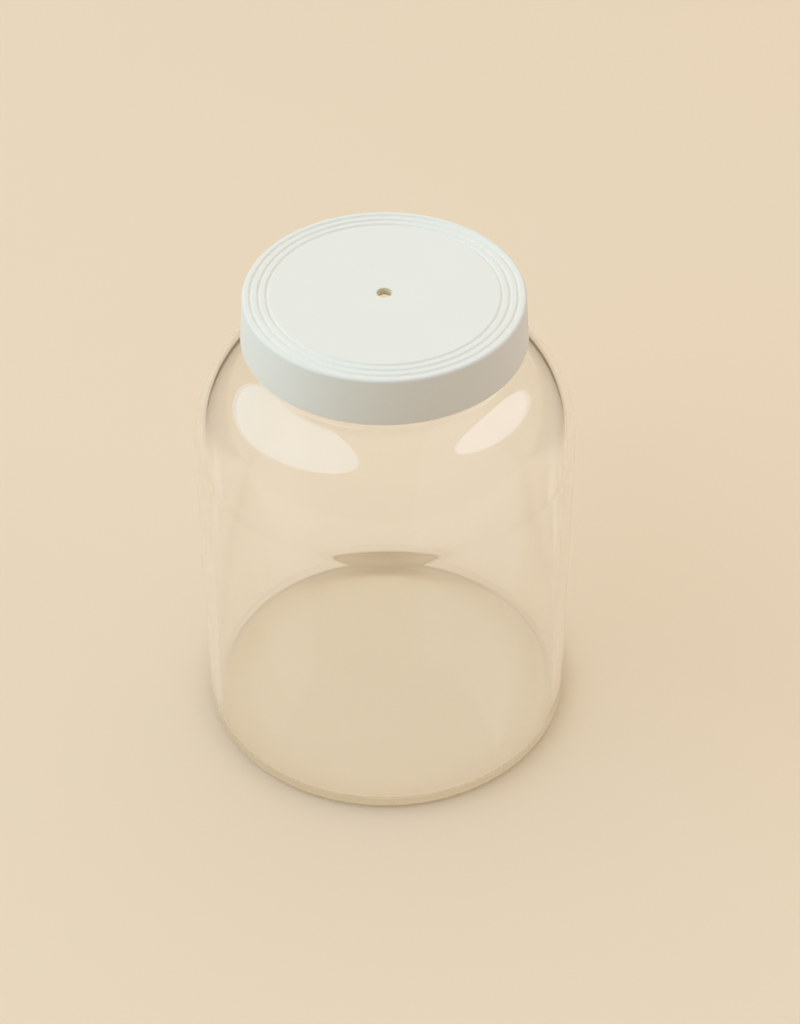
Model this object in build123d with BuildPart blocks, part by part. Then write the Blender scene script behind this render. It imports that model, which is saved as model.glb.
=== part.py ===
"""Glass starter jar with a vented screw lid and a ring gasket.

Sizes are millimetres. Z points up. The origin is the centre of the circle that the jar stands on.
"""

import os
from math import sqrt

from build123d import *

# Glass body
jar_radius = 52.5
wall_thickness = 2.8
shoulder_height = 94.0
shoulder_radius = 37.0

# Glass base
heel_radius = 2.4
foot_width = 2.4
base_rise = 1.0
floor_height = 2.2
floor_rise = 1.0
floor_corner_radius = 1.2

# Glass neck and rim
neck_radius = 34.4
neck_height = 12.80
neck_wall = 3.9
neck_fillet = 2.5
mouth_round = 4.0
rim_outer_round = 1.2
rim_inner_round = 1.0

# Screw thread, the same form on the neck and in the lid
thread_lead = 4.2
thread_turns = 1.25
thread_depth = 1.2
thread_base_width = 2.0
thread_crest_width = 1.0
thread_run_out = 6.0
thread_margin = 1.8
thread_clearance = 0.4

# Gasket
gasket_thickness = 1.2
gasket_clearance = 0.3
gasket_round = 0.3

# Lid
lid_height = 13.75
lid_wall = 2.4
lid_taper = 1.0
lid_plate_thickness = 2.05
lid_edge_round = 0.9
lid_foot_round = 0.5
groove_count = 3
groove_pitch = 2.15
groove_inset = 2.15
groove_width = 1.1
groove_depth = 0.6
groove_round = 0.2
vent_radius = 1.85
vent_edge_break = 0.25
plug_clearance = 0.8
plug_wall = 1.2
plug_depth = 3.2
plug_round = 0.4

# How far a ridge is sunk into the wall that carries it, and how far a cut runs past the solid
overrun = 0.5

# Radii that follow from the sizes above
inner_radius = jar_radius - wall_thickness
inner_shoulder_radius = shoulder_radius - wall_thickness
mouth_radius = neck_radius - neck_wall
shoulder_centre = (jar_radius - shoulder_radius, shoulder_height)
foot_outer_radius = jar_radius - heel_radius
foot_inner_radius = foot_outer_radius - foot_width
floor_radius = inner_radius - floor_corner_radius
thread_crest_radius = neck_radius + thread_depth
lid_bore_radius = thread_crest_radius + thread_clearance
lid_thread_crest_radius = neck_radius + thread_clearance
lid_skirt_radius = lid_bore_radius + lid_wall
lid_top_radius = lid_skirt_radius - lid_taper
groove_radii = [lid_top_radius - groove_inset - step * groove_pitch for step in range(groove_count)]
plug_outer_radius = mouth_radius - plug_clearance
plug_inner_radius = plug_outer_radius - plug_wall


def arc_about(centre, start, end):
    """Draw the shorter arc round a centre from one point to another."""
    centre, start, end = Vector(*centre), Vector(*start), Vector(*end)
    outward = ((start - centre).normalized() + (end - centre).normalized()).normalized()
    return ThreePointArc(start, centre + outward * (start - centre).length, end)


def neck_blend(curve_radius, upright_radius, blend_radius):
    """Centre and two ends of the round that joins the shoulder's curve to an upright neck wall."""
    across = upright_radius + blend_radius - shoulder_centre[0]
    up = sqrt((curve_radius + blend_radius) ** 2 - across**2)
    share = curve_radius / (curve_radius + blend_radius)
    centre = (upright_radius + blend_radius, shoulder_height + up)
    on_curve = (shoulder_centre[0] + across * share, shoulder_height + up * share)
    on_wall = (upright_radius, shoulder_height + up)
    return centre, on_curve, on_wall


# The two rounds where the shoulder turns up into the neck, outside and inside
outer_blend, outer_curve_end, neck_foot = neck_blend(shoulder_radius, neck_radius, neck_fillet)
inner_blend, inner_curve_end, bore_foot = neck_blend(inner_shoulder_radius, mouth_radius, mouth_round)

# Heights of the floor's middle, of the rim, and of the closed lid, which stands on the rim
floor_top = floor_height + floor_rise
jar_height = neck_foot[1] + neck_height
lid_seat = jar_height + gasket_thickness
lid_top = lid_seat + lid_plate_thickness
lid_bottom = lid_top - lid_height
plug_bottom = lid_seat - plug_depth
thread_start = lid_bottom + thread_margin


def thread_ridge(wall_radius, crest_radius):
    """One helical ridge that stands on a round wall and runs out to nothing at both ends."""
    depth = crest_radius - wall_radius
    sink = -overrun if depth > 0 else overrun
    with BuildPart() as ridge:
        with BuildLine() as path:
            Helix(
                pitch=thread_lead,
                height=thread_lead * thread_turns,
                radius=wall_radius,
                center=(0, 0, thread_start),
            )
        with BuildSketch(Plane.XZ):
            with BuildLine():
                Polyline(
                    (wall_radius + sink, thread_start - thread_base_width / 2),
                    (crest_radius, thread_start - thread_crest_width / 2),
                    (crest_radius, thread_start + thread_crest_width / 2),
                    (wall_radius + sink, thread_start + thread_base_width / 2),
                    close=True,
                )
            make_face()
        sweep(path=path.line, is_frenet=True)
        # Each end is cut on a slant, from the wall up to the crest
        for turn, inward in ((0, 1), (thread_turns, -1)):
            facing = Vector(1, 0, 0).rotate(Axis.Z, 360 * turn)
            height = thread_start + thread_lead * turn - thread_base_width
            with BuildSketch(Plane(origin=(0, 0, height), x_dir=facing, z_dir=(0, 0, 1))):
                with BuildLine():
                    Polyline(
                        (wall_radius, -inward * overrun),
                        (crest_radius - sink, -inward * overrun),
                        (crest_radius - sink, inward * thread_run_out),
                        close=True,
                    )
                make_face()
            extrude(amount=2 * thread_base_width, mode=Mode.SUBTRACT)
    return ridge.part


neck_ridge = thread_ridge(neck_radius, thread_crest_radius)
lid_ridge = thread_ridge(lid_bore_radius, lid_thread_crest_radius)

# Glass jar: one wall, turned about the upright axis
with BuildPart() as glass_jar:
    with BuildSketch(Plane.XZ):
        with BuildLine():
            TangentArc((0, base_rise), (foot_inner_radius, 0), tangent=(1, 0))
            Line((foot_inner_radius, 0), (foot_outer_radius, 0))
            arc_about((foot_outer_radius, heel_radius), (foot_outer_radius, 0), (jar_radius, heel_radius))
            Line((jar_radius, heel_radius), (jar_radius, shoulder_height))
            arc_about(shoulder_centre, (jar_radius, shoulder_height), outer_curve_end)
            arc_about(outer_blend, outer_curve_end, neck_foot)
            rim_outer = (neck_radius - rim_outer_round, jar_height - rim_outer_round)
            Line(neck_foot, (neck_radius, rim_outer[1]))
            arc_about(rim_outer, (neck_radius, rim_outer[1]), (rim_outer[0], jar_height))
            rim_inner = (mouth_radius + rim_inner_round, jar_height - rim_inner_round)
            Line((rim_outer[0], jar_height), (rim_inner[0], jar_height))
            arc_about(rim_inner, (rim_inner[0], jar_height), (mouth_radius, rim_inner[1]))
            Line((mouth_radius, rim_inner[1]), bore_foot)
            arc_about(inner_blend, bore_foot, inner_curve_end)
            arc_about(shoulder_centre, inner_curve_end, (inner_radius, shoulder_height))
            floor_corner = (floor_radius, floor_height + floor_corner_radius)
            Line((inner_radius, shoulder_height), (inner_radius, floor_corner[1]))
            arc_about(floor_corner, (inner_radius, floor_corner[1]), (floor_radius, floor_height))
            TangentArc((0, floor_top), (floor_radius, floor_height), tangent=(1, 0))
            Line((0, floor_top), (0, base_rise))
        make_face()
    revolve(axis=Axis.Z)
    add(neck_ridge)

# Lid: a plate with round grooves near its edge, a drafted skirt, and a plug that centres it in the mouth
groove_corners = []
for groove in groove_radii:
    groove_corners += [
        (groove + groove_width / 2, lid_top),
        (groove, lid_top - groove_depth),
        (groove - groove_width / 2, lid_top),
    ]

with BuildPart() as lid:
    with BuildSketch(Plane.XZ) as lid_section:
        with BuildLine():
            Polyline(
                (0, lid_top),
                (0, lid_seat),
                (plug_inner_radius, lid_seat),
                (plug_inner_radius, plug_bottom),
                (plug_outer_radius, plug_bottom),
                (plug_outer_radius, lid_seat),
                (lid_bore_radius, lid_seat),
                (lid_bore_radius, lid_bottom),
                (lid_skirt_radius, lid_bottom),
                (lid_top_radius, lid_top),
                *groove_corners,
                close=True,
            )
        make_face()
        for corner, corner_radius in (
            ((lid_top_radius, lid_top), lid_edge_round),
            ((lid_skirt_radius, lid_bottom), lid_foot_round),
            ((lid_bore_radius, lid_bottom), lid_foot_round),
            ((plug_inner_radius, plug_bottom), plug_round),
            ((plug_outer_radius, plug_bottom), plug_round),
            *((corner, groove_round) for corner in groove_corners),
        ):
            fillet(lid_section.vertices().sort_by_distance(corner)[0], radius=corner_radius)
    revolve(axis=Axis.Z)
    add(lid_ridge, rotation=(0, 0, 180))
    with Locations((0, 0, lid_top)):
        CounterSinkHole(
            radius=vent_radius,
            counter_sink_radius=vent_radius + vent_edge_break,
            counter_sink_angle=90,
        )

# Gasket: a flat ring between the plate of the lid and the rim of the jar
with BuildPart() as lid_gasket:
    with BuildSketch(Plane.XY.offset(jar_height)):
        Circle(lid_bore_radius - gasket_clearance)
        Circle(plug_outer_radius + gasket_clearance, mode=Mode.SUBTRACT)
    extrude(amount=gasket_thickness)
    chamfer(lid_gasket.edges().filter_by(GeomType.CIRCLE), length=gasket_round)

os.makedirs("parts", exist_ok=True)
glass_jar.part.label = "glass_jar"
export_step(glass_jar.part, "parts/glass_jar.step")
lid.part.label = "lid"
export_step(lid.part, "parts/lid.step")
lid_gasket.part.label = "lid_gasket"
export_step(lid_gasket.part, "parts/lid_gasket.step")
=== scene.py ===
# %% [markdown]
# A glass jar with a screw lid, dressed for its portrait.
#
# The real object is three things: a blown and pressed glass jar, a moulded plastic lid and a soft ring
# gasket between them. A measured model of each is loaded first as a fixed frame, and everything made here
# is placed by it, in metres, with Z up and the jar standing on the origin. The finished pieces take the
# frame's places one by one, so that the lid still turns and rises as the measured one does.

# %% Load the measured frame
from math import atan2, cos, hypot, pi, radians, sin, sqrt, tan

import bmesh
import bpy
from mathutils import Matrix, Vector


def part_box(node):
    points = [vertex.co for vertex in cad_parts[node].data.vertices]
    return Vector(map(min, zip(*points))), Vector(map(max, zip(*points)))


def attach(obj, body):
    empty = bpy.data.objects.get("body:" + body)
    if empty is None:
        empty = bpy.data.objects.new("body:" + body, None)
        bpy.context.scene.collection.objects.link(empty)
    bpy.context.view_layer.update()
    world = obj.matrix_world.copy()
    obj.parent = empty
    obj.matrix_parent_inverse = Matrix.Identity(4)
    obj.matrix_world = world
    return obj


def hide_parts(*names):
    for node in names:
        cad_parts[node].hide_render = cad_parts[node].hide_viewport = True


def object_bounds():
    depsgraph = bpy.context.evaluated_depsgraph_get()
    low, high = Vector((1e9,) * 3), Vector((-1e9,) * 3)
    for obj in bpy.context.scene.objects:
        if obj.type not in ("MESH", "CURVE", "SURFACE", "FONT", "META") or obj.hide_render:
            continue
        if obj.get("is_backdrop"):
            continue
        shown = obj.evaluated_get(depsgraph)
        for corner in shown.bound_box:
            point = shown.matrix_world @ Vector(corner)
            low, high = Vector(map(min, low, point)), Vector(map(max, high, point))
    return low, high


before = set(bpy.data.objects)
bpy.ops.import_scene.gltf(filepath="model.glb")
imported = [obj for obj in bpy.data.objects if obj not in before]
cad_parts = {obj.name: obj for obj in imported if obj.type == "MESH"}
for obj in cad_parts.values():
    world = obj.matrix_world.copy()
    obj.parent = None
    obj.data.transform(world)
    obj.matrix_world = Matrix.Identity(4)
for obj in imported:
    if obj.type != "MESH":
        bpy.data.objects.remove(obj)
measured_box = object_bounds()
print("measured nodes:", ", ".join(sorted(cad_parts)))
print("measured size, mm:", [round(1000 * (high - low), 2) for low, high in zip(*measured_box)])

# %% [markdown]
# Sizes come from two places. What can be read off the frame is read off it: how wide and how high each
# piece is. What can't be read so simply, such as a wall or a rounding, is a named value in metres, and
# every other place is worked out from these. A turned piece needs only radii and heights.

# %% Read the outer sizes off the frame
mm = 0.001


def reach(node):
    """Outer radius, lowest and highest point of a round node, to a hundredth of a millimetre."""
    low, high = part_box(node)
    return round(high.x, 5), round(low.z, 5), round(high.z, 5)


jar_radius, jar_foot, jar_rim = reach("glass_jar")
lid_skirt_radius, lid_foot, lid_top = reach("lid")
gasket_outer_radius, gasket_foot, gasket_top = reach("lid_gasket")
for name, sizes in (
    ("jar", (jar_radius, jar_foot, jar_rim)),
    ("lid", (lid_skirt_radius, lid_foot, lid_top)),
    ("gasket", (gasket_outer_radius, gasket_foot, gasket_top)),
):
    print(name, "radius, foot and top, mm:", *(f"{size / mm:z.2f}" for size in sizes))

# %% [markdown]
# The camera stands where the photographer stood: above the jar, looking down at it. Three things place it.
# The lid and the foot look like ellipses, and how flat they are gives the tilt. How much smaller the foot
# looks than the lid gives the distance. The jar's place in the picture gives the rest. The lens is given
# for a 36 mm sensor whose width spans the long side of an 800 by 1024 picture.

# %% Set up the camera
camera_height = 0.5273
camera_back = 0.5200
camera_right = 0.0041
camera_tilt = radians(48.448)
camera_lens = 86.417
sensor_width = 36.0
camera_near_limit = 10 * mm

camera_data = bpy.data.cameras.new("Camera")
camera_data.lens = camera_lens
camera_data.sensor_width = sensor_width
camera_data.clip_start = camera_near_limit
camera = bpy.data.objects.new("Camera", camera_data)
camera.location = (camera_right, -camera_back, camera_height)
camera.rotation_euler = (camera_tilt, 0, 0)
bpy.context.scene.collection.objects.link(camera)
bpy.context.scene.camera = camera
bpy.context.scene.view_settings.view_transform = "Standard"
print("camera looks down by", round(90 - camera_tilt * 180 / pi, 1), "degrees")

# %% [markdown]
# Materials are node trees, and most of what a tree does is said by a few words: this shader, this noise,
# these numbers. Small helpers add a node, do a sum and mix two shaders, so that each material below reads
# as a list of its ingredients.


# %% Helpers that add and fill nodes
def fill(tree, socket, value):
    """Give a socket a plain value, or link it to another node's output."""
    if isinstance(value, bpy.types.NodeSocket):
        tree.links.new(value, socket)
    else:
        socket.default_value = value


def add_node(tree, kind, settings=None, **inputs):
    """Add a node, set its options, and fill its inputs by their names."""
    made = tree.nodes.new(kind)
    for name, value in (settings or {}).items():
        setattr(made, name, value)
    for name, value in inputs.items():
        fill(tree, made.inputs[name.replace("_", " ")], value)
    return made


def reckoned(tree, operation, *values):
    """The result of one sum, as an output that the next node can take."""
    step = tree.nodes.new("ShaderNodeMath")
    step.operation = operation
    for socket, value in zip(step.inputs, values):
        fill(tree, socket, value)
    return step.outputs[0]


def eased(tree, value, start, end):
    """0 at start and before it, 1 at end and past it, with a soft change between."""
    step = add_node(tree, "ShaderNodeMapRange", {"interpolation_type": "SMOOTHSTEP"}, Value=value)
    fill(tree, step.inputs["From Min"], start)
    fill(tree, step.inputs["From Max"], end)
    return step.outputs["Result"]


def spread(tree, value, span, reach):
    """A value spread evenly from one pair of ends to another, and held at them."""
    step = add_node(tree, "ShaderNodeMapRange", Value=value)
    for name, end in zip(("From Min", "From Max", "To Min", "To Max"), (*span, *reach)):
        fill(tree, step.inputs[name], end)
    return step.outputs["Result"]


def from_axis(tree, x, y):
    """How far a place is from the upright axis."""
    flat = add_node(tree, "ShaderNodeCombineXYZ", X=x, Y=y)
    radius = add_node(tree, "ShaderNodeVectorMath", {"operation": "LENGTH"})
    fill(tree, radius.inputs[0], flat.outputs["Vector"])
    return radius.outputs["Value"]


def mixed(tree, share, first, second):
    """Two shaders in one: the first where share is 0, the second where it is 1."""
    mix = tree.nodes.new("ShaderNodeMixShader")
    for socket, source in zip(mix.inputs, (share, first, second)):
        fill(tree, socket, source)
    return mix.outputs[0]


def new_material(name):
    """An empty material with its tree and its output node."""
    material = bpy.data.materials.new(name)
    material.use_nodes = True
    material.node_tree.nodes.clear()
    output = material.node_tree.nodes.new("ShaderNodeOutputMaterial")
    return material, material.node_tree, output


# %% [markdown]
# The floor is a plain pale sheet in the warm beige that shows through the glass. Glass has next to no
# colour of its own: what it looks like is what stands behind it, bent and mirrored, so the floor is half
# of the glass's finish. It is a wide disc, so that no view sees its edge near the jar, and far out it fades
# into the backdrop's colour, as a sheet of studio paper does that curves up behind the object.

# %% Lay the floor
floor_radius = 12.0
floor_gap = 0.05 * mm
floor_colour = (0.87, 0.715, 0.55, 1)
backdrop_colour = (0.75, 0.63, 0.46, 1)
floor_segments = 96

floor_mesh = bpy.data.meshes.new("floor")
builder = bmesh.new()
bmesh.ops.create_circle(builder, cap_ends=True, radius=floor_radius, segments=floor_segments)
bmesh.ops.translate(builder, vec=(0, 0, -floor_gap), verts=builder.verts)
builder.to_mesh(floor_mesh)
builder.free()
floor = bpy.data.objects.new("floor", floor_mesh)
bpy.context.scene.collection.objects.link(floor)
floor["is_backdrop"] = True
print("floor is", 2 * floor_radius, "m across")

# %% [markdown]
# The lines that draw a clear jar are mirror images too. Along the edge of the shoulder the inner wall
# turns light right round, and shows there, squeezed into a thread's width, a far strip of whatever lies
# round the jar. In a room that is pale all round, those lines vanish. Photographers of glass set up black
# cards for this, out of the picture. Here the floor is painted instead, for mirrored rays only: it is pale
# near the jar, and a ray that the glass has turned round once finds it painted dark further out to the left
# and right behind the jar, a painted reflection of a darker room. Off the outer face this painted dark shows
# only in part, and rays that went round the wall more often don't meet it, so that the rim outside each dark
# line stays clear. In front of the jar every mirrored ray finds the floor painted a little paler, a painted
# reflection as if a white card lay there. Rays that weren't mirrored find the plain floor.

# %% Sort the rays by how often they were turned
half_turn = 0.5
one_turn = 1.0
face_share = 0.5


def mirrored_ray(tree, path):
    """1 for a ray that something has mirrored, 0 for every other ray."""
    return reckoned(tree, "GREATER_THAN", path["Glossy Depth"], half_turn)


def turned_once_share(tree, path):
    """1 for a ray that the glass wall turned once, less for one off its face, 0 for every other ray."""
    once = reckoned(tree, "COMPARE", path["Glossy Depth"], one_turn, half_turn)
    in_wall = reckoned(tree, "GREATER_THAN", path["Transmission Depth"], half_turn)
    share = reckoned(tree, "MULTIPLY_ADD", in_wall, 1 - face_share, face_share)
    return reckoned(tree, "MULTIPLY", once, share)


# %% Finish the floor
# Painted reflections: colours the floor shows only to mirrored rays, dark beside and behind, paler in front
painted_dark_reflection = (0.15, 0.108, 0.065, 1)
painted_pale_reflection = (0.95, 0.82, 0.67, 1)
side_edge = (0.195, 0.23)
back_edge = (0.05, 0.2)
front_edge = (-0.155, -0.2)
fade_edge = (1.2, 3.5)
floor_roughness = 0.9
floor_cloud_scale = 6.0
floor_cloud_detail = 3.0
floor_cloud_share = 0.02

floor_finish, tree, output = new_material("pale_floor")
place = add_node(tree, "ShaderNodeTexCoord").outputs["Object"]
cloud = add_node(tree, "ShaderNodeTexNoise", Vector=place, Scale=floor_cloud_scale)
fill(tree, cloud.inputs["Detail"], floor_cloud_detail)
tint = add_node(tree, "ShaderNodeMixRGB", {"blend_type": "MULTIPLY"}, Fac=floor_cloud_share)
fill(tree, tint.inputs["Color1"], floor_colour)
fill(tree, tint.inputs["Color2"], cloud.outputs["Color"])
matt = add_node(tree, "ShaderNodeBsdfPrincipled", Base_Color=tint.outputs["Color"])
fill(tree, matt.inputs["Roughness"], floor_roughness)
x, y, z = add_node(tree, "ShaderNodeSeparateXYZ", Vector=place).outputs
path = add_node(tree, "ShaderNodeLightPath").outputs
seen = reckoned(tree, "MAXIMUM", path["Is Camera Ray"], path["Is Transmission Ray"])
far_off = reckoned(tree, "MULTIPLY", eased(tree, from_axis(tree, x, y), *fade_edge), seen)
# Masks for the painted pale reflection in front and the painted dark reflection beside and behind
pale_reflection_share = reckoned(tree, "MULTIPLY", eased(tree, y, *front_edge), mirrored_ray(tree, path))
to_side = eased(tree, reckoned(tree, "ABSOLUTE", x), *side_edge)
beside = reckoned(tree, "MULTIPLY", to_side, turned_once_share(tree, path))
dark_reflection_share = reckoned(tree, "MULTIPLY", beside, eased(tree, y, *back_edge))
paper = add_node(tree, "ShaderNodeEmission", Color=backdrop_colour)
paler = add_node(tree, "ShaderNodeEmission", Color=painted_pale_reflection)
dark = add_node(tree, "ShaderNodeEmission", Color=painted_dark_reflection)
look = mixed(tree, far_off, matt.outputs["BSDF"], paper.outputs["Emission"])
look = mixed(tree, pale_reflection_share, look, paler.outputs["Emission"])
look = mixed(tree, dark_reflection_share, look, dark.outputs["Emission"])
fill(tree, output.inputs["Surface"], look)
floor.data.materials.append(floor_finish)
print("mirrored, the floor is pale to", side_edge[0], "m on each side")
print("seen straight, it fades out from", fade_edge[0], "to", fade_edge[1], "m")

# %% [markdown]
# Two soft windows light the jar, a large cool one on the left and a smaller one on the right. They also
# draw the two bright leaves on the glass shoulder: a lamp's mirror image there is the lamp's own shape,
# pulled round the curve. Each lamp is an ellipse, hung by the angles at which the shoulder mirrors it.


# %% Hang the two soft windows
def hang_window(name, azimuth, elevation, distance, size, tilt, power, colour):
    """An elliptical lamp that faces the jar. Azimuth turns clockwise from +Y, tilt turns it in its plane."""
    bearing, rise, lean = radians(azimuth), radians(elevation), radians(tilt)
    outward = Vector((sin(bearing) * cos(rise), cos(bearing) * cos(rise), sin(rise)))
    level = Vector((cos(bearing), -sin(bearing), 0))
    upright = outward.cross(level)
    if upright.z < 0:
        upright = -upright
    along = level * cos(lean) + upright * sin(lean)
    lamp = bpy.data.lights.new(name, "AREA")
    lamp.shape = "ELLIPSE"
    lamp.size, lamp.size_y = size
    lamp.energy = power
    lamp.color = colour
    hung = bpy.data.objects.new(name, lamp)
    turn = Matrix((along, outward.cross(along), outward)).transposed()
    hung.matrix_world = Matrix.Translation(outward * distance) @ turn.to_4x4()
    bpy.context.scene.collection.objects.link(hung)
    return hung


window_distance = 3.0
left_window = hang_window(
    "left_window",
    azimuth=-99,
    elevation=39.5,
    distance=window_distance,
    size=(5.8, 2.2),
    tilt=-27,
    power=60,
    colour=(0.37, 0.685, 0.95),
)
right_window = hang_window(
    "right_window",
    azimuth=88,
    elevation=34.5,
    distance=window_distance,
    size=(3.4, 1.06),
    tilt=27.9,
    power=17.3,
    colour=(0.64, 0.71, 0.95),
)
for window in (left_window, right_window):
    print(window.name, "hangs at", [round(metres, 2) for metres in window.location])

# %% [markdown]
# A pale world fills in the rest. It is darker near the horizon, in front and to the right, as the walls of
# a room are that has its large window on the left. What the camera sees behind the floor, straight or
# through glass, is a plain backdrop. What is mirrored has its own colours: pale above, deeper below, and
# deepest low down behind the jar, which helps to draw the lines round its shoulder and its foot.

# %% Fill in with a pale world
horizon_light = (0.27, 0.245, 0.18, 1)
zenith_light = (1.465, 1.305, 1.05, 1)
front_share = 0.05
front_turn = radians(20)
front_span = (-1.0, 0.3)
across_span = (-1.0, 0.4)
left_share = 1.08
right_share = 0.95
mirrored_low = (0.80, 0.675, 0.525, 1)
mirrored_high = (0.92, 0.77, 0.575, 1)
mirrored_heights = (0.3, 0.6)
mirrored_back = (0.58, 0.46, 0.29, 1)
back_heights = (0.85, 0.65)
back_turn = (0.1, 0.4)

world = bpy.data.worlds.new("soft_room")
world.use_nodes = True
bpy.context.scene.world = world
tree = world.node_tree
tree.nodes.clear()
place = add_node(tree, "ShaderNodeTexCoord").outputs["Generated"]
x, y, z = add_node(tree, "ShaderNodeSeparateXYZ", Vector=place).outputs
room = add_node(tree, "ShaderNodeMixRGB", Color1=horizon_light, Color2=zenith_light)
fill(tree, room.inputs["Fac"], spread(tree, z, (0, 1), (0, 1)))
straight_back = reckoned(tree, "MULTIPLY", y, cos(front_turn))
away = reckoned(tree, "SUBTRACT", straight_back, reckoned(tree, "MULTIPLY", x, sin(front_turn)))
front = spread(tree, away, front_span, (front_share, 1))
across = spread(tree, x, across_span, (left_share, right_share))
strength = reckoned(tree, "MULTIPLY", front, across)
light = add_node(tree, "ShaderNodeBackground", Color=room.outputs["Color"], Strength=strength)
backdrop = add_node(tree, "ShaderNodeBackground", Color=backdrop_colour)
wall = add_node(tree, "ShaderNodeMixRGB", Fac=eased(tree, z, *mirrored_heights), Color1=mirrored_low)
fill(tree, wall.inputs["Color2"], mirrored_high)
behind = reckoned(tree, "MULTIPLY", eased(tree, y, *back_turn), eased(tree, z, *back_heights))
all_round = add_node(tree, "ShaderNodeMixRGB", Fac=behind, Color1=wall.outputs["Color"])
fill(tree, all_round.inputs["Color2"], mirrored_back)
mirrored = add_node(tree, "ShaderNodeBackground", Color=all_round.outputs["Color"])
path = add_node(tree, "ShaderNodeLightPath").outputs
look = mixed(tree, path["Is Transmission Ray"], light.outputs["Background"], backdrop.outputs["Background"])
look = mixed(tree, mirrored_ray(tree, path), look, mirrored.outputs["Background"])
look = mixed(tree, path["Is Diffuse Ray"], look, light.outputs["Background"])
look = mixed(tree, path["Is Camera Ray"], look, backdrop.outputs["Background"])
fill(tree, add_node(tree, "ShaderNodeOutputWorld").inputs["Surface"], look)
print("world lights from", horizon_light[:3], "at the horizon to", zenith_light[:3], "overhead")

# %% [markdown]
# Clear glass bends what is behind it and mirrors what is round it, and one shader does both. A very faint
# ripple runs over it, because a jar is pressed and blown and never quite true. Rays that only carry
# light, those for shadows and for matt surfaces, pass almost straight through. Otherwise the inside of a
# glass vessel renders far too dark, because a path tracer hardly ever finds a lamp through two walls. Such
# a shortcut leaves out that the heel, where the glass turns under, throws light aside and so draws a soft
# dark line round the foot. So the heel dims the light instead. A ray that was mirrored three times goes
# free, because the wall would pass it round and round and only add haze.

# %% Clear glass
glass_bend = 1.5
ripple_scale = 28.0
ripple_detail = 1.0
ripple_strength = 0.5
ripple_height = 0.06 * mm
most_turns = 2.5
glass_tint = (1.0, 1.0, 0.998, 1)
shadow_tint = (0.997, 0.997, 0.99, 1)
edge_shadow = (0.95, 0.935, 0.905, 1)
heel_shadow = (0.52, 0.46, 0.37, 1)
heel_reach = (50.1 * mm, 50.6 * mm)
heel_height = (6.0 * mm, 2.5 * mm)

glass_finish, tree, output = new_material("clear_glass")
place = add_node(tree, "ShaderNodeTexCoord").outputs["Object"]
ripple = add_node(tree, "ShaderNodeTexNoise", Vector=place, Scale=ripple_scale, Detail=ripple_detail)
wave = add_node(tree, "ShaderNodeBump", Strength=ripple_strength, Distance=ripple_height)
fill(tree, wave.inputs["Height"], ripple.outputs["Fac"])
glass = add_node(tree, "ShaderNodeBsdfPrincipled", Base_Color=glass_tint, Roughness=0, IOR=glass_bend)
fill(tree, glass.inputs["Transmission Weight"], 1)
fill(tree, glass.inputs["Normal"], wave.outputs["Normal"])
slant = add_node(tree, "ShaderNodeLayerWeight").outputs["Facing"]
shade = add_node(tree, "ShaderNodeMixRGB", Fac=slant, Color1=shadow_tint, Color2=edge_shadow)
x, y, z = add_node(tree, "ShaderNodeSeparateXYZ", Vector=place).outputs
outer = eased(tree, from_axis(tree, x, y), *heel_reach)
heel = reckoned(tree, "MULTIPLY", outer, eased(tree, z, *heel_height))
shade = add_node(tree, "ShaderNodeMixRGB", Fac=heel, Color1=shade.outputs["Color"], Color2=heel_shadow)
clear = add_node(tree, "ShaderNodeBsdfTransparent", Color=shade.outputs["Color"])
freed = add_node(tree, "ShaderNodeBsdfTransparent", Color=(1, 1, 1, 1))
path = add_node(tree, "ShaderNodeLightPath").outputs
look = mixed(tree, path["Is Shadow Ray"], glass.outputs["BSDF"], clear.outputs["BSDF"])
look = mixed(tree, path["Is Diffuse Ray"], look, clear.outputs["BSDF"])
turned_often = reckoned(tree, "GREATER_THAN", path["Glossy Depth"], most_turns)
look = mixed(tree, turned_often, look, freed.outputs["BSDF"])
fill(tree, output.inputs["Surface"], look)
print("glass bends light by", glass_bend)

# %% [markdown]
# A jar is only clear where nothing touches it. The ring it stands on is scuffed, most of all at the back,
# and less to the left and right of that. The scuffs leave it dull: light still comes through, but spread.
# Each scuff could be cut as a scratch, but all of them are finer than the eye sees, so the same glass gets a
# rougher surface there instead, by how far a place is from the axis and how far back. The same mask paints
# shade as well: there the glass is tinted darker and passes less light to the floor under it. This painted
# shade stands in for the dark shade seen through the back of the foot.

# %% Glass worn matt where the jar stands, with painted shade at the back
# Painted shade: a darker glass tint, and dimmer light to the floor below, where the mask is strong
foot_shade_tint = (0.88, 0.82, 0.70, 1)
foot_clear = (0.96, 0.94, 0.90, 1)
foot_shadow = (0.45, 0.37, 0.25, 1)
wear_edge = (43.2 * mm, 47.0 * mm)
back_reach = (34.0 * mm, 47.0 * mm)
middle_reach = (19.0 * mm, 0)
back_shade_and_wear = 0.22
middle_shade_and_wear = 0.34
scuff_scale = 900.0
scuff_detail = 3.0
scuff_roughness = (0.25, 0.6)

foot_finish, tree, output = new_material("worn_shaded_glass_foot")
place = add_node(tree, "ShaderNodeTexCoord").outputs["Object"]
scuffs = add_node(tree, "ShaderNodeTexNoise", Vector=place, Scale=scuff_scale, Detail=scuff_detail)
x, y, z = add_node(tree, "ShaderNodeSeparateXYZ", Vector=place).outputs
in_middle = eased(tree, reckoned(tree, "ABSOLUTE", x), *middle_reach)
amount = reckoned(tree, "MULTIPLY_ADD", in_middle, middle_shade_and_wear, back_shade_and_wear)
on_ring = eased(tree, from_axis(tree, x, y), *wear_edge)
at_back = reckoned(tree, "MULTIPLY", on_ring, eased(tree, y, *back_reach))
shade_and_wear = reckoned(tree, "MULTIPLY", at_back, amount)
wear = spread(tree, scuffs.outputs["Fac"], (0, 1), scuff_roughness)
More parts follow.
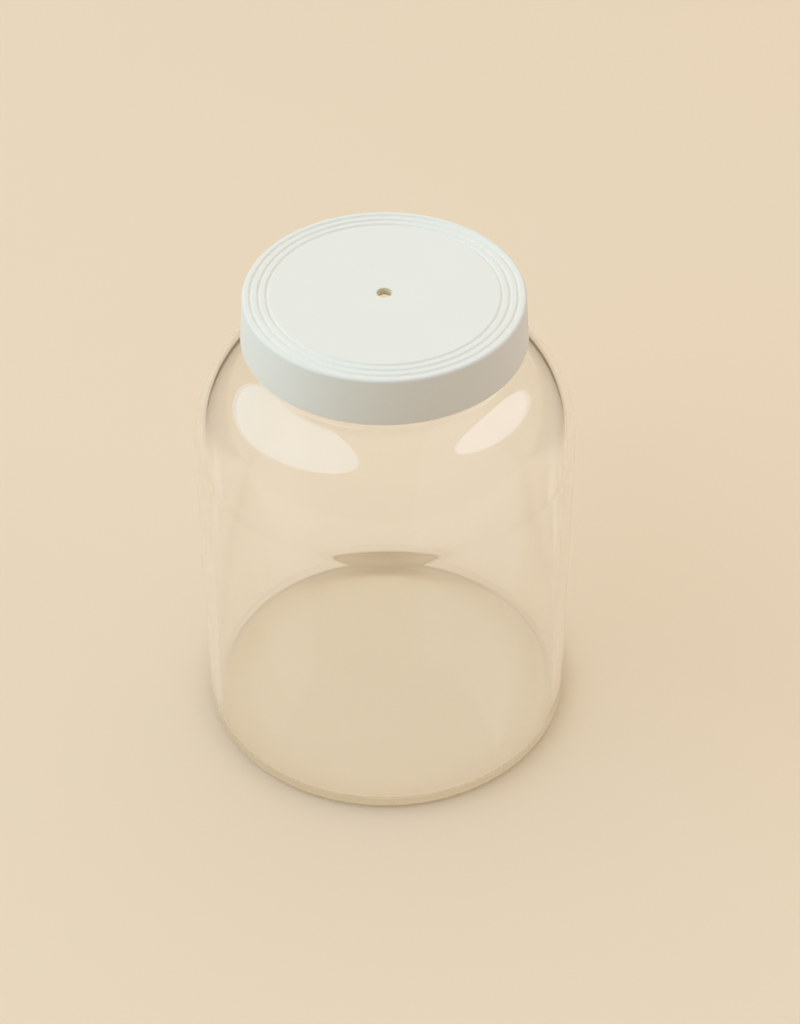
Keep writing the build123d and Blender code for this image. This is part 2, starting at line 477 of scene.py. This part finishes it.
# Painted shade: the glass tint darkens with the same mask as the scuffed roughness
shaded_tint = add_node(tree, "ShaderNodeMixRGB", Fac=shade_and_wear, Color1=glass_tint, Color2=foot_shade_tint)
worn_and_shaded = add_node(tree, "ShaderNodeBsdfPrincipled", Base_Color=shaded_tint.outputs["Color"], IOR=glass_bend)
fill(tree, worn_and_shaded.inputs["Transmission Weight"], 1)
fill(tree, worn_and_shaded.inputs["Roughness"], reckoned(tree, "MULTIPLY", wear, shade_and_wear))
# Painted shade: less light passes to the floor under the back of the ring
dim = add_node(tree, "ShaderNodeMixRGB", Fac=shade_and_wear, Color1=foot_clear, Color2=foot_shadow)
clear = add_node(tree, "ShaderNodeBsdfTransparent", Color=dim.outputs["Color"])
path = add_node(tree, "ShaderNodeLightPath").outputs
look = mixed(tree, path["Is Shadow Ray"], worn_and_shaded.outputs["BSDF"], clear.outputs["BSDF"])
look = mixed(tree, path["Is Diffuse Ray"], look, clear.outputs["BSDF"])
fill(tree, output.inputs["Surface"], look)
print("the ring is worn from", round(back_reach[0] / mm, 1), "mm behind the axis")

# %% [markdown]
# The lid is warm white plastic from a finely blasted mould: matt, with a grain too small to see from a
# step away, only enough to spread a highlight. Broad, barely visible clouds keep it from looking like
# paper. Both are noise in the lid's own coordinates, which has no seam and needs no unwrapping. The vent
# hole's wall is tinted a warm khaki: painted light, standing in for the warm light that reaches it from
# below.

# %% White moulded plastic
lid_colour = (0.88, 0.885, 0.85, 1)
lid_shade = (0.86, 0.865, 0.83, 1)
# Painted light: a warm tint on the vent hole's wall, for the warm light that comes up from below
vent_painted_light = (0.72, 0.66, 0.47, 1)
vent_edge = (2.3 * mm, 1.95 * mm)
lid_cloud_scale = 45.0
lid_cloud_detail = 4.0
grain_scale = 2600.0
grain_detail = 2.0
grain_strength = 0.25
grain_height = 0.04 * mm
lid_roughness = (0.42, 0.54)
plastic_bend = 1.49

lid_finish, tree, output = new_material("white_moulded_plastic")
place = add_node(tree, "ShaderNodeTexCoord").outputs["Object"]
cloud = add_node(tree, "ShaderNodeTexNoise", Vector=place, Scale=lid_cloud_scale, Detail=lid_cloud_detail)
tint = add_node(tree, "ShaderNodeMixRGB", Fac=cloud.outputs["Fac"], Color1=lid_colour, Color2=lid_shade)
x, y, z = add_node(tree, "ShaderNodeSeparateXYZ", Vector=place).outputs
# Painted light on the vent hole's wall
in_vent = eased(tree, from_axis(tree, x, y), *vent_edge)
tint = add_node(tree, "ShaderNodeMixRGB", Fac=in_vent, Color1=tint.outputs["Color"], Color2=vent_painted_light)
grain = add_node(tree, "ShaderNodeTexNoise", Vector=place, Scale=grain_scale, Detail=grain_detail)
grain = grain.outputs["Fac"]
bump = add_node(tree, "ShaderNodeBump", Strength=grain_strength, Distance=grain_height, Height=grain)
plastic = add_node(tree, "ShaderNodeBsdfPrincipled", Base_Color=tint.outputs["Color"], IOR=plastic_bend)
fill(tree, plastic.inputs["Roughness"], spread(tree, grain, (0, 1), lid_roughness))
fill(tree, plastic.inputs["Normal"], bump.outputs["Normal"])
fill(tree, output.inputs["Surface"], plastic.outputs["BSDF"])
print("lid plastic bends light by", plastic_bend)

# %% [markdown]
# The gasket is soft silicone, milky and slightly see-through, with the dry bloom that such rings have. It
# could be thin glass or plain rubber. What makes it milky is that light goes in, wanders for about a
# millimetre and comes out again, which is what subsurface scattering reckons, so it is rubber with that.

# %% Milky silicone
silicone_colour = (0.80, 0.80, 0.77, 1)
silicone_shade = (0.74, 0.74, 0.71, 1)
silicone_roughness = 0.5
silicone_bend = 1.41
silicone_glow_share = 0.3
silicone_glow_depth = 1.0 * mm
bloom_scale = 160.0
bloom_detail = 3.0
bloom_strength = 0.3
bloom_height = 0.05 * mm

gasket_finish, tree, output = new_material("milky_silicone")
place = add_node(tree, "ShaderNodeTexCoord").outputs["Object"]
bloom = add_node(tree, "ShaderNodeTexNoise", Vector=place, Scale=bloom_scale, Detail=bloom_detail)
bloom = bloom.outputs["Fac"]
tint = add_node(tree, "ShaderNodeMixRGB", Fac=bloom, Color1=silicone_colour, Color2=silicone_shade)
bump = add_node(tree, "ShaderNodeBump", Strength=bloom_strength, Distance=bloom_height, Height=bloom)
rubber = add_node(tree, "ShaderNodeBsdfPrincipled", Base_Color=tint.outputs["Color"], IOR=silicone_bend)
fill(tree, rubber.inputs["Roughness"], silicone_roughness)
fill(tree, rubber.inputs["Subsurface Weight"], silicone_glow_share)
fill(tree, rubber.inputs["Subsurface Scale"], silicone_glow_depth)
fill(tree, rubber.inputs["Normal"], bump.outputs["Normal"])
fill(tree, output.inputs["Surface"], rubber.outputs["BSDF"])
print("silicone bends light by", silicone_bend)

# %% [markdown]
# All three pieces come out of round moulds, so all three are made like clay on a wheel: draw half of the
# section, then turn it about the upright axis. An outline is a list of points (radius, height). Two helpers
# draw its round stretches: one goes along an arc from point to point, the other rounds a corner off between
# two straight sides. Two more draw the straight ones. The first sets a guard row near each end, which keeps
# smooth shading from bending the flat in between, and the second lays even rows for the thread to rise on.


# %% Draw the stretches of an outline
def arc(centre, start, end, steps):
    """Points along the shorter arc round a centre, after start and up to end."""
    radius = hypot(start[0] - centre[0], start[1] - centre[1])
    first = atan2(start[1] - centre[1], start[0] - centre[0])
    swing = atan2(end[1] - centre[1], end[0] - centre[0]) - first
    swing = (swing + pi) % (2 * pi) - pi
    angles = [first + swing * step / steps for step in range(1, steps + 1)]
    return [(centre[0] + radius * cos(angle), centre[1] + radius * sin(angle)) for angle in angles]


def rounded(before, corner, after, radius, steps=6):
    """Points that round a corner off: the arc that touches the sides to the points before and after it."""
    corner = Vector(corner)
    back, ahead = (Vector(before) - corner).normalized(), (Vector(after) - corner).normalized()
    half_angle = back.angle(ahead) / 2
    start, end = corner + back * (radius / tan(half_angle)), corner + ahead * (radius / tan(half_angle))
    centre = corner + (back + ahead).normalized() * (radius / sin(half_angle))
    return [tuple(start), *arc(centre, start, end, steps)]


def between(start, end, share):
    """The point that lies a share of the way from start to end."""
    return start[0] + (end[0] - start[0]) * share, start[1] + (end[1] - start[1]) * share


def straight(start, end, guard=0.4 * mm):
    """A straight stretch, after start and up to end, with a guard row near each end."""
    length = hypot(end[0] - start[0], end[1] - start[1])
    shares = [guard / length, 1 - guard / length, 1] if length > 3 * guard else [1]
    return [between(start, end, share) for share in shares]


def rows(start, end, step):
    """Evenly spaced points on a straight stretch, after start and up to end, about one step apart."""
    count = max(1, round(hypot(end[0] - start[0], end[1] - start[1]) / step))
    shares = [number / count for number in range(1, count + 1)]
    return [between(start, end, share) for share in shares]


# %% [markdown]
# The wheel itself. Blender's Screw modifier would turn an outline too, but a few lines of mesh code keep
# the rows where the thread needs them. Every point of the outline becomes a ring of vertices, and
# neighbouring rings are joined by four-sided faces. A point on the axis becomes one vertex, not a ring of
# them, so that the pole is closed and smooth. The last step asks for outward faces, and the volume tells
# whether it worked.


# %% Turn an outline on the wheel
turn_segments = 288


def turned(name, outline, segments=turn_segments):
    """A closed round mesh from an outline. An outline that doesn't start and end on the axis is a loop."""
    mesh = bpy.data.meshes.new(name)
    builder = bmesh.new()
    rings = []
    for radius, height in outline:
        if radius == 0:
            rings.append([builder.verts.new((0, 0, height))] * segments)
            continue
        angles = [2 * pi * step / segments for step in range(segments)]
        places = [(radius * cos(angle), radius * sin(angle), height) for angle in angles]
        rings.append([builder.verts.new(place) for place in places])
    on_axis = outline[0][0] == 0
    pairs = zip(rings[:-1], rings[1:]) if on_axis else zip(rings, rings[1:] + rings[:1])
    for lower, upper in pairs:
        for step in range(segments):
            ahead = (step + 1) % segments
            corners = (lower[step], lower[ahead], upper[ahead], upper[step])
            builder.faces.new(list(dict.fromkeys(corners)))
    bmesh.ops.recalc_face_normals(builder, faces=builder.faces)
    print(name, "has", len(builder.faces), "faces and holds", round(builder.calc_volume() / mm**3), "mm3")
    builder.to_mesh(mesh)
    builder.free()
    for face in mesh.polygons:
        face.use_smooth = True
    piece = bpy.data.objects.new(name, mesh)
    bpy.context.scene.collection.objects.link(piece)
    return piece


# %% [markdown]
# A screw thread follows a rule, so Geometry Nodes make it. On the real jar it is a rounded bead that the
# mould leaves on the neck, and the lid has a matching one inside. The tree lifts the wall instead of
# adding a ridge: for each point of the wall it works out which turn of the helix is nearest, how far above
# or below that turn the point lies, and pushes it out by the bead's height there. So neck and bead stay one
# closed skin, which glass needs. A negative depth pushes inward, for the lid. Both ends run out smoothly.


# %% Build the tree that raises a screw thread
def thread_tree():
    """Geometry Nodes tree that raises a helical bead on a round upright wall."""
    tree = bpy.data.node_groups.new("screw_thread", "GeometryNodeTree")
    sockets = tree.interface
    sockets.new_socket("Geometry", in_out="INPUT", socket_type="NodeSocketGeometry")
    names = ("Wall Radius", "Depth", "Lead", "Turns", "Start Height", "Start Turn")
    for name in (*names, "Base Width", "Crest Width", "Run Out", "Wall Tolerance"):
        sockets.new_socket(name, in_out="INPUT", socket_type="NodeSocketFloat")
    sockets.new_socket("Finish", in_out="INPUT", socket_type="NodeSocketMaterial")
    sockets.new_socket("Geometry", in_out="OUTPUT", socket_type="NodeSocketGeometry")
    given = tree.nodes.new("NodeGroupInput").outputs

    def calc(operation, *values):
        """One sum in this tree, whose result the next one can take."""
        return reckoned(tree, operation, *values)

    position = tree.nodes.new("GeometryNodeInputPosition").outputs[0]
    x, y, z = add_node(tree, "ShaderNodeSeparateXYZ", Vector=position).outputs
    radius = calc("SQRT", calc("ADD", calc("MULTIPLY", x, x), calc("MULTIPLY", y, y)))
    full_turns = calc("DIVIDE", calc("ARCTAN2", y, x), 2 * pi)
    turn = calc("FRACT", calc("SUBTRACT", full_turns, given["Start Turn"]))
    height = calc("SUBTRACT", z, given["Start Height"])
    nearest = calc("ROUND", calc("SUBTRACT", calc("DIVIDE", height, given["Lead"]), turn))
    along = calc("ADD", turn, nearest)
    off_centre = calc("ABSOLUTE", calc("SUBTRACT", height, calc("MULTIPLY", along, given["Lead"])))
    half_base, half_crest = (calc("MULTIPLY", given[name], 0.5) for name in ("Base Width", "Crest Width"))
    bead = calc("SUBTRACT", 1.0, eased(tree, off_centre, half_crest, half_base))
    to_end = calc("MINIMUM", along, calc("SUBTRACT", given["Turns"], along))
    run = calc("MULTIPLY", to_end, calc("MULTIPLY", given["Wall Radius"], 2 * pi))
    run_out = eased(tree, run, 0, given["Run Out"])
    push = calc("MULTIPLY", calc("MULTIPLY", bead, run_out), given["Depth"])
    share = calc("DIVIDE", push, radius)
    push_x, push_y = calc("MULTIPLY", x, share), calc("MULTIPLY", y, share)
    offset = add_node(tree, "ShaderNodeCombineXYZ", X=push_x, Y=push_y)
    from_wall = calc("ABSOLUTE", calc("SUBTRACT", radius, given["Wall Radius"]))
    on_wall = calc("LESS_THAN", from_wall, given["Wall Tolerance"])
    lift = add_node(tree, "GeometryNodeSetPosition", Geometry=given["Geometry"], Selection=on_wall)
    tree.links.new(offset.outputs[0], lift.inputs["Offset"])
    real = add_node(tree, "GeometryNodeRealizeInstances", Geometry=lift.outputs[0])
    dressed = add_node(tree, "GeometryNodeSetMaterial", Geometry=real.outputs[0], Material=given["Finish"])
    tree.links.new(dressed.outputs[0], tree.nodes.new("NodeGroupOutput").inputs[0])
    return tree


screw_thread = thread_tree()
print("thread tree has", len(screw_thread.nodes), "nodes")

# %% Sizes of the thread, alike on the neck and in the lid
thread_lead = 4.2 * mm
thread_turns = 1.25
thread_depth = 1.2 * mm
thread_base_width = 2.0 * mm
thread_crest_width = 1.0 * mm
thread_run_out = 6.0 * mm
thread_margin = 1.8 * mm
thread_wall_tolerance = 0.01 * mm
thread_start = lid_foot + thread_margin
row_step = 0.16 * mm


def raise_thread(piece, wall_radius, depth, start_turn, finish):
    """Run the thread tree on a piece, keep the result as its plain mesh, and take the modifier off."""
    values = {
        "Wall Radius": wall_radius,
        "Depth": depth,
        "Lead": thread_lead,
        "Turns": thread_turns,
        "Start Height": thread_start,
        "Start Turn": start_turn,
        "Base Width": thread_base_width,
        "Crest Width": thread_crest_width,
        "Run Out": thread_run_out,
        "Wall Tolerance": thread_wall_tolerance,
        "Finish": finish,
    }
    modifier = piece.modifiers.new("screw_thread", "NODES")
    modifier.node_group = screw_thread
    for item in screw_thread.interface.items_tree:
        if item.in_out == "INPUT" and item.name in values:
            modifier[item.identifier] = values[item.name]
    plain = piece.data
    seen = piece.evaluated_get(bpy.context.evaluated_depsgraph_get())
    piece.data = bpy.data.meshes.new_from_object(seen)
    piece.data.name = piece.name
    piece.modifiers.clear()
    bpy.data.meshes.remove(plain)


# %% [markdown]
# The glass jar is one wall. Outside it goes up from a rounded heel, straight for two thirds of its height,
# then over a wide round shoulder and up into a short neck. Inside it does the same, a wall's thickness
# away, and a little further in the neck, where the lid is screwed down. The base is a little thinner than
# the wall and domed upward, so that the jar stands on a ring. A single skin made thick by a modifier would
# be quicker, but the base, the body and the neck each have their own thickness. So it is drawn as one
# outline, from the middle of the underside round the outside, over the rim and down the inside to the
# middle of the floor. Each wall has a surface on both sides, because light bends at both.

# %% Sizes of the glass
wall_thickness = 2.8 * mm
shoulder_height = 94.0 * mm
shoulder_radius = 37.0 * mm
heel_radius = 2.4 * mm
foot_width = 2.4 * mm
base_rise = 1.0 * mm
floor_height = 2.2 * mm
floor_rise = 1.0 * mm
floor_corner_radius = 1.2 * mm
neck_radius = 34.4 * mm
neck_wall = 3.9 * mm
neck_fillet = 2.5 * mm
mouth_round = 4.0 * mm
rim_outer_round = 1.2 * mm
rim_inner_round = 1.0 * mm

inner_radius = jar_radius - wall_thickness
inner_shoulder_radius = shoulder_radius - wall_thickness
mouth_radius = neck_radius - neck_wall
shoulder_centre = (jar_radius - shoulder_radius, shoulder_height)
foot_outer_radius = jar_radius - heel_radius
foot_inner_radius = foot_outer_radius - foot_width
floor_edge_radius = inner_radius - floor_corner_radius


def neck_blend(curve_radius, upright_radius, blend_radius):
    """Centre and two ends of the round between the shoulder's curve and an upright neck wall."""
    across = upright_radius + blend_radius - shoulder_centre[0]
    up = sqrt((curve_radius + blend_radius) ** 2 - across**2)
    share = curve_radius / (curve_radius + blend_radius)
    centre = (upright_radius + blend_radius, shoulder_height + up)
    on_curve = (shoulder_centre[0] + across * share, shoulder_height + up * share)
    return centre, on_curve, (upright_radius, shoulder_height + up)


# %% Draw the glass section
under_steps = 24
heel_steps = 12
shoulder_steps = 40
neck_steps = 8
rim_steps = 6
mouth_steps = 12
corner_steps = 14
crown_steps = 12

outer_blend, outer_curve_end, neck_foot = neck_blend(shoulder_radius, neck_radius, neck_fillet)
inner_blend, inner_curve_end, bore_foot = neck_blend(inner_shoulder_radius, mouth_radius, mouth_round)
under_radius = (foot_inner_radius**2 + base_rise**2) / (2 * base_rise)
under_centre = (0, base_rise - under_radius)
floor_top = floor_height + floor_rise
crown_radius = (floor_edge_radius**2 + floor_rise**2) / (2 * floor_rise)
crown_centre = (0, floor_top - crown_radius)
heel_centre = (foot_outer_radius, heel_radius)
rim_outer = (neck_radius - rim_outer_round, jar_rim - rim_outer_round)
rim_inner = (mouth_radius + rim_inner_round, jar_rim - rim_inner_round)
floor_corner = (floor_edge_radius, floor_height + floor_corner_radius)

glass_outline = [(0, base_rise)]
glass_outline += arc(under_centre, glass_outline[-1], (foot_inner_radius, 0), under_steps)
glass_outline += straight(glass_outline[-1], (foot_outer_radius, 0))
glass_outline += arc(heel_centre, glass_outline[-1], (jar_radius, heel_radius), heel_steps)
glass_outline += straight(glass_outline[-1], (jar_radius, shoulder_height))
glass_outline += arc(shoulder_centre, glass_outline[-1], outer_curve_end, shoulder_steps)
glass_outline += arc(outer_blend, glass_outline[-1], neck_foot, neck_steps)
glass_outline += rows(glass_outline[-1], (neck_radius, rim_outer[1]), row_step)
glass_outline += arc(rim_outer, glass_outline[-1], (rim_outer[0], jar_rim), rim_steps)
glass_outline += straight(glass_outline[-1], (rim_inner[0], jar_rim))
glass_outline += arc(rim_inner, glass_outline[-1], (mouth_radius, rim_inner[1]), rim_steps)
glass_outline += straight(glass_outline[-1], bore_foot)
glass_outline += arc(inner_blend, glass_outline[-1], inner_curve_end, mouth_steps)
glass_outline += arc(shoulder_centre, glass_outline[-1], (inner_radius, shoulder_height), shoulder_steps)
glass_outline += straight(glass_outline[-1], (inner_radius, floor_corner[1]))
glass_outline += arc(floor_corner, glass_outline[-1], (floor_edge_radius, floor_height), corner_steps)
glass_outline += arc(crown_centre, glass_outline[-1], (0, floor_top), crown_steps)
glass_outline[-1] = (0, floor_top)
print("glass outline has", len(glass_outline), "points")

# %% Turn the glass and raise its thread
foot_shade_and_wear_height = 0.2 * mm
worn_and_shaded_slot = 1
neck_start_turn = 0.0

jar_glass = turned("jar_glass", glass_outline)
raise_thread(jar_glass, neck_radius, thread_depth, neck_start_turn, glass_finish)
jar_glass.data.materials.append(foot_finish)
# Faces on the ring it stands on take the foot finish: scuffed, with painted shade at the back
for face in jar_glass.data.polygons:
    if face.center.z < foot_shade_and_wear_height:
        face.material_index = worn_and_shaded_slot
print("jar_glass measures", [round(side / mm, 2) for side in jar_glass.dimensions], "mm")

# %% [markdown]
# The lid is moulded in one shot. From above it is a flat disc with a small vent hole in the middle and
# three narrow V grooves near its edge, which catch a line of light and a line of shadow each. Below the
# rounded edge comes a smooth skirt that widens a little downward, so that it leaves its mould. Inside it
# carries a thread and a short plug ring that centres it in the jar's mouth. The grooves could be a bump in
# the plastic, but a bump has no depth where it is seen at a slant, so they are cut into the outline. That
# is a loop, which starts at the vent hole.

# %% Sizes of the lid
lid_seat = gasket_top
lid_wall = 2.4 * mm
lid_taper = 1.0 * mm
lid_edge_round = 0.9 * mm
lid_foot_round = 0.5 * mm
groove_count = 3
groove_pitch = 2.15 * mm
groove_inset = 2.15 * mm
groove_width = 1.1 * mm
groove_depth = 0.6 * mm
groove_round = 0.2 * mm
vent_radius = 1.85 * mm
vent_edge_break = 0.25 * mm
plug_clearance = 0.8 * mm
plug_wall = 1.2 * mm
plug_depth = 3.2 * mm
plug_round = 0.4 * mm
groove_guard = 0.1 * mm

lid_bore_radius = lid_skirt_radius - lid_wall
lid_top_radius = lid_skirt_radius - lid_taper
groove_radii = [lid_top_radius - groove_inset - step * groove_pitch for step in range(groove_count)]
plug_outer_radius = mouth_radius - plug_clearance
plug_inner_radius = plug_outer_radius - plug_wall
plug_foot = lid_seat - plug_depth

# %% Draw the lid's section
lid_edge_steps = 8
plug_steps = 4

edge_corner = (lid_top_radius, lid_top)
skirt_corner = (lid_skirt_radius, lid_foot)
bore_corner = (lid_bore_radius, lid_foot)
plug_outer_corner = (plug_outer_radius, plug_foot)
plug_inner_corner = (plug_inner_radius, plug_foot)
plug_inner_end = (plug_inner_radius, lid_seat)

lid_outline = [(vent_radius, lid_seat), (vent_radius, lid_top - vent_edge_break)]
lid_outline += [(vent_radius + vent_edge_break, lid_top)]
for groove in reversed(groove_radii):
    near, far = (groove - groove_width / 2, lid_top), (groove + groove_width / 2, lid_top)
    bottom = (groove, lid_top - groove_depth)
    edge = rounded(lid_outline[-1], near, bottom, groove_round)
    lid_outline += straight(lid_outline[-1], edge[0], guard=groove_guard) + edge[1:]
    lid_outline += rounded(near, bottom, far, groove_round)
    lid_outline += rounded(bottom, far, edge_corner, groove_round)
edge = rounded(lid_outline[-1], edge_corner, skirt_corner, lid_edge_round, lid_edge_steps)
lid_outline += straight(lid_outline[-1], edge[0], guard=groove_guard) + edge[1:]
lid_outline += rounded(edge_corner, skirt_corner, bore_corner, lid_foot_round)
lid_outline += rounded(skirt_corner, bore_corner, (lid_bore_radius, lid_seat), lid_foot_round)
lid_outline += rows(lid_outline[-1], (lid_bore_radius, lid_seat), row_step)
lid_outline += [(plug_outer_radius, lid_seat)]
lid_outline += rounded(lid_outline[-1], plug_outer_corner, plug_inner_corner, plug_round, plug_steps)
lid_outline += rounded(plug_outer_corner, plug_inner_corner, plug_inner_end, plug_round, plug_steps)
lid_outline += [plug_inner_end]
print("lid outline has", len(lid_outline), "points")

# %% Turn the lid and raise its thread
lid_start_turn = 0.5

moulded_lid = turned("moulded_lid", lid_outline)
raise_thread(moulded_lid, lid_bore_radius, -thread_depth, lid_start_turn, lid_finish)
print("moulded_lid measures", [round(side / mm, 2) for side in moulded_lid.dimensions], "mm")

# %% [markdown]
# The gasket is cut or moulded as a flat ring with softened edges. It lies between the lid and the rim, and
# is turned from a rectangle with its four corners rounded off.

# %% Turn the gasket
gasket_clearance = 0.3 * mm
gasket_round = 0.3 * mm
gasket_steps = 4
gasket_segments = 192
gasket_inner_radius = plug_outer_radius + gasket_clearance

gasket_corners = [
    (gasket_inner_radius, gasket_foot),
    (gasket_outer_radius, gasket_foot),
    (gasket_outer_radius, gasket_top),
    (gasket_inner_radius, gasket_top),
]
gasket_outline = []
for number, corner in enumerate(gasket_corners):
    before, after = gasket_corners[number - 1], gasket_corners[(number + 1) % len(gasket_corners)]
    gasket_outline += rounded(before, corner, after, gasket_round, gasket_steps)
ring_gasket = turned("ring_gasket", gasket_outline, segments=gasket_segments)
ring_gasket.data.materials.append(gasket_finish)

# %% [markdown]
# Each finished piece now takes the place of its measured one. It rides on the same body, so that the
# gasket rises with the lid and the lid also turns.

# %% Put the pieces on their bodies
for piece, body, node, slot in (
    (jar_glass, "jar", "glass_jar", "glass"),
    (ring_gasket, "seal", "lid_gasket", "gasket_silicone"),
    (moulded_lid, "cap", "lid", "lid_plastic"),
):
    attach(piece, body)
    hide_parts(node)
    print(piece.name, "rides on", body)

# %% Compare the sizes and finish
dressed_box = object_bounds()
named_boxes = (("cad", measured_box), ("visual", dressed_box))
boxes = {name: [list(corner) for corner in box] for name, box in named_boxes}
for name, box in boxes.items():
    print(name, "size, mm:", [round((high - low) / mm, 2) for low, high in zip(*box)])
